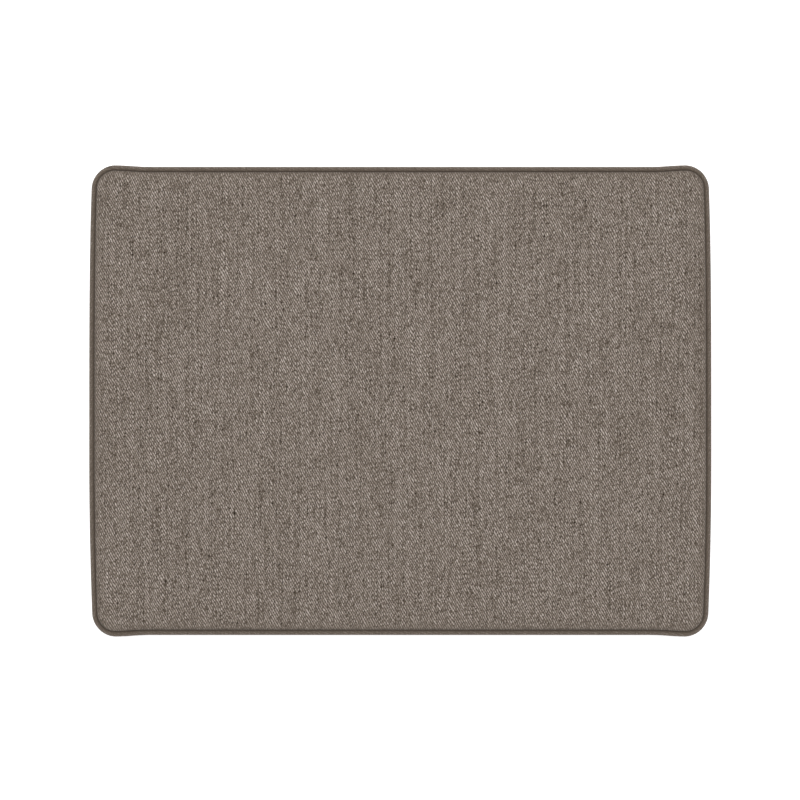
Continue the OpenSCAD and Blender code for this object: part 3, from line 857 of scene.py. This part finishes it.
# %% Metal parts
def softened(node, name, width, segments=3):
    """A bevelled copy of a CAD node."""
    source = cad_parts[node]
    work = bmesh.new()
    work.from_mesh(source.data)
    bmesh.ops.remove_doubles(work, verts=work.verts, dist=1e-6)
    bmesh.ops.dissolve_limit(work, angle_limit=np.radians(2), verts=work.verts, edges=work.edges)
    mesh = bpy.data.meshes.new(name)
    work.to_mesh(mesh)
    work.free()
    mesh.polygons.foreach_set("use_smooth", np.ones(len(mesh.polygons), bool))
    obj = bpy.data.objects.new(name, mesh)
    scene.collection.objects.link(obj)
    bevel = obj.modifiers.new("Soft edges", "BEVEL")
    bevel.width, bevel.segments, bevel.limit_method = width, segments, "ANGLE"
    bevel.angle_limit, bevel.harden_normals = np.radians(25), True
    return obj


nickel, tree, shader = new_material("zip_metal", 0.32, 0.5, metallic=1.0)
x, y, z = object_place(tree)
film = cloud(x / 2.2 + y, z / 1.7 + y, 51, 3)
scratch = cloud(x * 0.8 + z * 5, y * 4 + z * 0.6, 52, 3)
tree.links.new(tint(film * 0.3 + 0.68, (0.34, 0.325, 0.30)), shader.inputs["Base Color"])
tree.links.new((film * 0.22 + scratch * 0.18 + 0.14).socket, shader.inputs["Roughness"])
relief(tree, shader, scratch, 0.02 * MM, 0.5)
dress(softened("zip_slider", "slider", 0.16 * MM), nickel, "zip_metal", "slider", "zip_slider")
dress(softened("zip_pull", "pull", 0.2 * MM), nickel, "zip_metal", "pull", "zip_pull")
dress(softened("zip_bottom_stop", "bottom_stop", 0.3 * MM), nickel, "zip_metal", "cover", "zip_bottom_stop")
dress(softened("zip_top_stops", "top_stops", 0.3 * MM), nickel, "zip_metal", "cover", "zip_top_stops")

# %% [markdown]
# ## Stitches
# A stitch is a short length of two-ply thread that comes out of one needle hole, lies along the cloth and
# goes down the next. Its middle is straight and its ends dive. The same small tube is repeated along each
# row.

# %% Stitch rows
def stitch_row(name, way):
    """Tubes with radius r sqrt(1 - s^6) and depth 0.42 mm * s^4 for s from -1 to 1, one at each pitch."""
    s = np.linspace(-0.995, 0.995, 9)[:, None]
    spin = np.linspace(0, 2 * np.pi, 6, endpoint=False)[None]
    r = 0.25 * MM * np.sqrt(1 - s**6) * (1 + 0.10 * np.cos(2 * spin + 5 * s))
    x = s * (STITCH_LENGTH / 2 + 0.15 * MM) + 0 * spin
    y = HALF_D + 0.15 * MM - 0.42 * MM * s**4 + r * np.cos(spin)
    z = STITCH_UP + r * np.sin(spin)
    one = np.stack([x, y, way * z], -1)
    points = one[None] + np.stack([STITCH_X, 0 * STITCH_X, 0 * STITCH_X + ZIP_Z], -1)[:, None, None]
    rows, sides = one.shape[:2]
    faces = grid_faces(rows, sides, around=True)
    caps = [np.arange(sides)[::-1], (rows - 1) * sides + np.arange(sides)]
    first = np.arange(STITCH_COUNT)[:, None, None] * rows * sides
    every = (faces[None] + first).reshape(-1, 4)
    weave = np.stack(np.broadcast_arrays(s[None] * 1.5 * MM, spin[None] * 0.25 * MM), -1) + 0 * points[..., :2]
    ends = [list(map(int, cap + k)) for k in first[:, 0, 0] for cap in caps]
    if way > 0:
        every, ends = every[:, ::-1], [e[::-1] for e in ends]
    return make_piece(name, points, every, weave, ends)


thread, tree, shader = new_material("thread", 0.55, 0.4, sheen=0.2)
along, across = cloth_place(tree)
ply = ((along * 2.2 + across * 1.3) * (2 * np.pi)).calc("SINE") * 0.5 + 0.5
tree.links.new(tint(ply * 0.45 + 0.6, (0.125, 0.102, 0.086)), shader.inputs["Base Color"])
relief(tree, shader, ply, 0.08 * MM)
dress(stitch_row("stitches_upper", 1), thread, "thread", "cover", "zip_stitching_upper")
dress(stitch_row("stitches_lower", -1), thread, "thread", "cover", "zip_stitching_lower")

# %% [markdown]
# ## What is inside
# Behind an open zip is the liner, a thin calico bag, and in it a foam core between two sheets of polyester
# wadding. Hardly any of it shows while the zip is shut, but each piece is finished as what it is, because
# someone may take the cover off. All of them are one shape: two domed faces on the pad's grid, joined by a rounded
# side.

# %% Filling
def pillow(name, rim_in, faces_at, reach, shoulders, grid_step=8 * MM, edge_steps=6, unevenness=0.0, seed=0):
    """A closed body. faces_at is (bottom, top) at the middle and shoulders the same at the rim, between which
    the side bows out by 0.08 mm. Each face is a quarter ellipse from its shoulder to reach inside the seam."""
    grid = pad_grid(grid_step, edge_steps)
    rim = rim_of(grid)
    radius = (CORNER - rim_in) * np.sin(grid["share"] * np.pi / 2)
    x, y = settled(grid["cx"] + grid["nx"] * radius, grid["cy"] + grid["ny"] * radius)
    rise = dome(CORNER - radius, rim_in, 0, reach, 1)
    rough = unevenness * pulls(x, y, seed) * rise
    top = shoulders[1] + (faces_at[1] - shoulders[1]) * rise - np.abs(rough)
    low = shoulders[0] + (faces_at[0] - shoulders[0]) * rise + np.abs(rough)
    levels = np.linspace(1, 0, 9)[1:-1]
    height = shoulders[1] - shoulders[0]
    sides = [ring(rim, rim_in - 0.08 * MM * np.sin(np.pi * s), shoulders[0] + s * height) for s in levels]
    sheets = [np.stack([x, y, z], -1).reshape(-1, 3) for z in (top, low)]
    points = np.concatenate([*sheets, *sides])
    size, loop = x.size, rim_numbers(x.shape)
    wall = wall_faces(loop, len(sides), 2 * size, [size + loop])
    flat = grid_faces(*x.shape)
    return make_piece(name, points, np.concatenate([flat, flat[:, ::-1] + size, wall]))


foam_low, foam_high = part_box("foam_core")
wad_low, wad_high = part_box("wadding_top")
pad_low, pad_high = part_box("wadding_bottom")
bag_low, bag_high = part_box("inner_liner")
FILL_IN = HALF_L - foam_high.x
BAG_IN = HALF_L - bag_high.x
WADDING_RIM, BAG_RIM = 0.9 * MM, 0.8 * MM

foam, tree, shader = new_material("foam", 0.95, 0.1)
x, y, z = object_place(tree)
pores = cloud(x * 2.1, y * 2.1 + z * 1.7, 61, 3)
cells = tree.nodes.new("ShaderNodeTexVoronoi")
cells.inputs["Scale"].default_value = 1.0
tree.links.new(vector(x * 1.6, y * 1.6, z * 1.6), cells.inputs["Vector"])
cell = Wire(cells.outputs["Distance"])
aged = cloud(x / 60, y / 60, 62, 2)
tree.links.new(tint(cell * 0.25 + aged * 0.25 + 0.68, (0.80, 0.70, 0.44)), shader.inputs["Base Color"])
relief(tree, shader, cell * 0.7 + pores * 0.3, 0.3 * MM)

wadding, tree, shader = new_material("wadding", 0.9, 0.1, sheen=0.3)
x, y, z = object_place(tree)
bent = cloud(x / 8, y / 8, 71, 2) * 10.0
fibre = cloud(x * 2.4 + bent, y * 0.25 + z + bent, 72, 3) * 0.5
fibre = fibre + cloud(x * 0.3 + bent, y * 2.2 + z, 73, 3) * 0.5
tree.links.new(tint(fibre * 0.3 + 0.72, (0.93, 0.93, 0.90)), shader.inputs["Base Color"])
relief(tree, shader, fibre, 0.6 * MM)

calico, tree, shader = new_material("calico", 0.9, 0.2, sheen=0.1)
x, y, z = object_place(tree)
end, over = (x / 0.5).floor(), ((y + z) / 0.5).floor()
checker = ((end + over) / 2).calc("FRACT") * 2
slub = (chance(end, 0.0, 81) - 0.5) * 0.12 + (chance(over, 0.0, 82) - 0.5) * 0.12
fleck = cloud(x * 1.3, (y + z) * 1.3, 83, 4).calc("GREATER_THAN", 0.72) * -0.3
tree.links.new(tint(slub + fleck + 0.85 + checker * 0.06, (0.58, 0.51, 0.40)), shader.inputs["Base Color"])
relief(tree, shader, checker * 0.7 + cloud(x * 2, (y + z) * 2, 84, 1) * 0.3, 0.1 * MM)

foam_core = pillow("foam_block", FILL_IN, (foam_low.z, foam_high.z), FILL_IN + 1.5 * MM,
                   (foam_low.z + 1.2 * MM, foam_high.z - 1.2 * MM), unevenness=0.05 * MM, seed=7)
dress(foam_core, foam, "foam", "cover", "foam_core")
over_foam = pillow("wadding_sheet_top", FILL_IN, (wad_low.z, wad_high.z), TOP_REACH,
                   (wad_low.z, wad_low.z + WADDING_RIM), unevenness=0.15 * MM, seed=8)
dress(over_foam, wadding, "wadding", "cover", "wadding_top")
under_foam = pillow("wadding_sheet_bottom", FILL_IN, (pad_low.z, pad_high.z), BOTTOM_REACH,
                    (pad_high.z - WADDING_RIM, pad_high.z), unevenness=0.15 * MM, seed=9)
dress(under_foam, wadding, "wadding", "cover", "wadding_bottom")
liner = pillow("calico_bag", BAG_IN, (bag_low.z, bag_high.z), TOP_REACH,
               (SEAM_LOW - BAG_RIM, SEAM_HIGH + BAG_RIM))
thicken(liner, 0.4 * MM)
dress(liner, calico, "calico", "cover", "inner_liner")

# %% [markdown]
# ## Floor, light and camera
# The pad lies on a white floor that glows a little, as a light table does, so that the ground is white all
# round while the pad still shades it softly underneath. It glows more from 0.4 m outwards, where the lamp's
# light fails. One soft lamp hangs over the pad, a little behind its middle, so every edge that slopes away
# is a touch darker and the front one most. The sky is dim overhead and white round the horizon, and its
# strength falls in a straight line between two heights, so a low view is white too. The camera looks
# straight down with a long lens, with the back of the pad at the top of its view.

# %% Floor
floor_material, tree, shader = new_material("floor_white", 0.9, 0.1)
x, y, z = object_place(tree)
shader.inputs["Emission Color"].default_value = (1, 1, 1, 1)
NEAR_GLOW, FAR_GLOW, FAR_FROM = 0.70, 0.84, 0.4
away = ((x * x + y * y).calc("SQRT") / 1000 - FAR_FROM).clamp()
tree.links.new((away * (FAR_GLOW - NEAR_GLOW) + NEAR_GLOW).socket, shader.inputs["Emission Strength"])
mottle = cloud(x / 200, y / 200, 91, 1)
tree.links.new(tint(mottle * 0.02 + 0.84, (1, 1, 1)), shader.inputs["Base Color"])
reach = np.linspace(-4, 4, 9)
fx, fy = np.meshgrid(reach, reach, indexing="ij")
floor = make_piece("floor", np.stack([fx, fy, 0 * fx - 0.02 * MM], -1), grid_faces(9, 9))
floor.data.materials.append(floor_material)

# %% Light
sky = bpy.data.worlds.new("sky")
scene.world = sky
sky.use_nodes = True
background = sky.node_tree.nodes["Background"]
background.inputs["Color"].default_value = (1, 1, 1, 1)
OVERHEAD, HORIZON, WHITE_TO, DIM_FROM = 0.25, 1.1, 0.13, 0.30
direction = sky.node_tree.nodes.new("ShaderNodeTexCoord")
split = sky.node_tree.nodes.new("ShaderNodeSeparateXYZ")
sky.node_tree.links.new(direction.outputs["Generated"], split.inputs[0])
fall = ((Wire(split.outputs["Z"]) - DIM_FROM) / (WHITE_TO - DIM_FROM)).clamp()
glow = fall * (HORIZON - OVERHEAD) + OVERHEAD
sky.node_tree.links.new(glow.socket, background.inputs["Strength"])


def lamp(name, place, size, power):
    """A square lamp of this size in metres that looks at the pad."""
    light = bpy.data.lights.new(name, "AREA")
    light.shape, light.size, light.energy = "SQUARE", size, power
    obj = bpy.data.objects.new(name, light)
    scene.collection.objects.link(obj)
    obj.location = place
    obj.rotation_mode = "QUATERNION"
    obj.rotation_quaternion = obj.location.to_track_quat("Z", "Y")
    return obj


lamp("soft lamp", (0.0, 0.3, 2.2), 0.7, 35)

# %% Camera and colour
CAMERA_HEIGHT, VIEW_WIDTH = 1.454, 0.5197
VIEW_CENTRE = (-0.00019, 0.0006)
eye = bpy.data.cameras.new("camera")
camera = bpy.data.objects.new("camera", eye)
scene.collection.objects.link(camera)
scene.camera = camera
eye.sensor_width = 36.0
eye.lens = eye.sensor_width * CAMERA_HEIGHT / VIEW_WIDTH
camera.location = (*VIEW_CENTRE, SEAM_HIGH + CAMERA_HEIGHT)
eye.clip_start, eye.clip_end = 0.05, 20
scene.view_settings.view_transform = "Standard"
print("camera", tuple(round(c, 3) for c in camera.location), "lens", round(eye.lens, 1))
